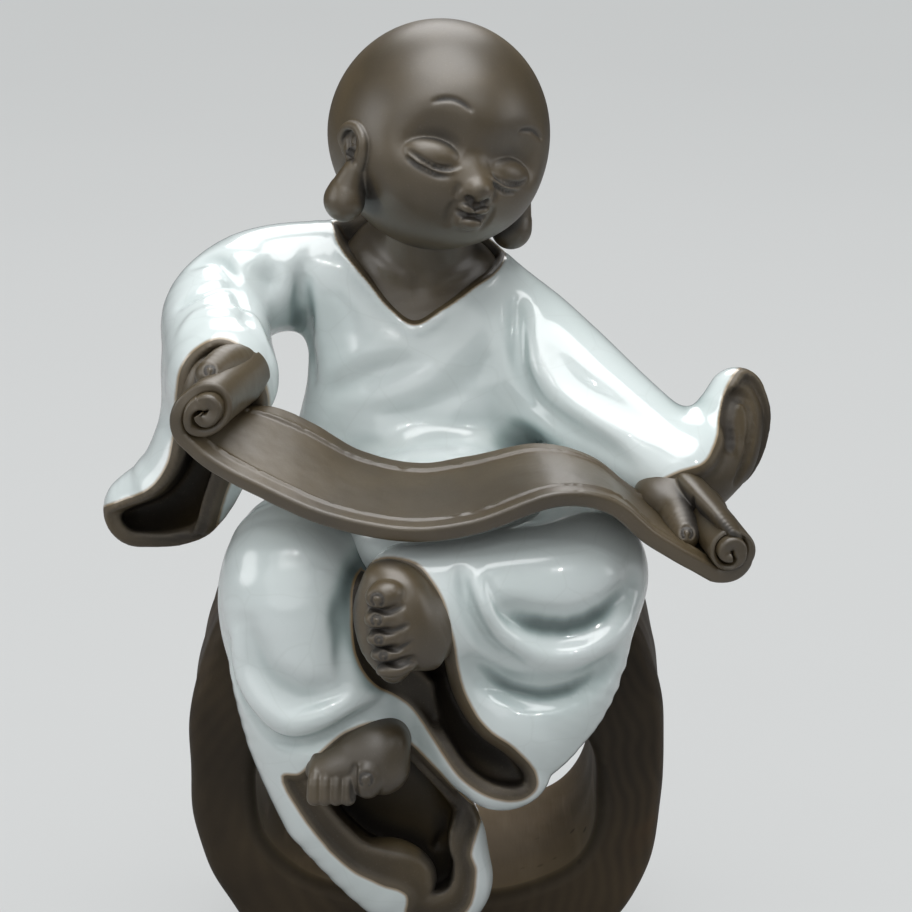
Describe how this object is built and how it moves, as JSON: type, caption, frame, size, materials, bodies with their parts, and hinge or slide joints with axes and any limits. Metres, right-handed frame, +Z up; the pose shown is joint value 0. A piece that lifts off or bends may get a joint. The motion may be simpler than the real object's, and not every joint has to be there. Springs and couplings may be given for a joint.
{
  "type": "tea pet figurine",
  "caption": "Small ceramic tea pet: a seated child monk in a glazed robe reading an open scroll, sitting loose on a sawn ring of hollow wood.",
  "frame": {"origin": "centre of the flat that the wood stands on", "axes": "+Z up, the figure faces -Y, +X to the figure's left"},
  "size_m": [0.11, 0.0801, 0.1608],
  "materials": {
    "celadon_glaze": "glossy pale blue-green glaze with fine crackle",
    "dark_clay": "unglazed smooth grey-brown stoneware",
    "stained_wood": "dark stained and oiled, satin"
  },
  "bodies": {
    "stand": {"wood_ring": "stained_wood"},
    "figure": {"robe_body": "celadon_glaze", "right_sleeve": "celadon_glaze", "left_sleeve": "celadon_glaze", "right_trouser_leg": "celadon_glaze", "left_trouser_leg": "celadon_glaze", "neck_and_chest": "dark_clay", "head": "dark_clay", "right_hand": "dark_clay", "left_hand": "dark_clay", "right_foot": "dark_clay", "left_foot": "dark_clay", "scroll": "dark_clay"}
  },
  "joints": [
    {"name": "figure_lift", "type": "slide", "parent": "stand", "child": "figure", "axis": [0, 0, 1], "range_m": [0, 0.06]}
  ]
}
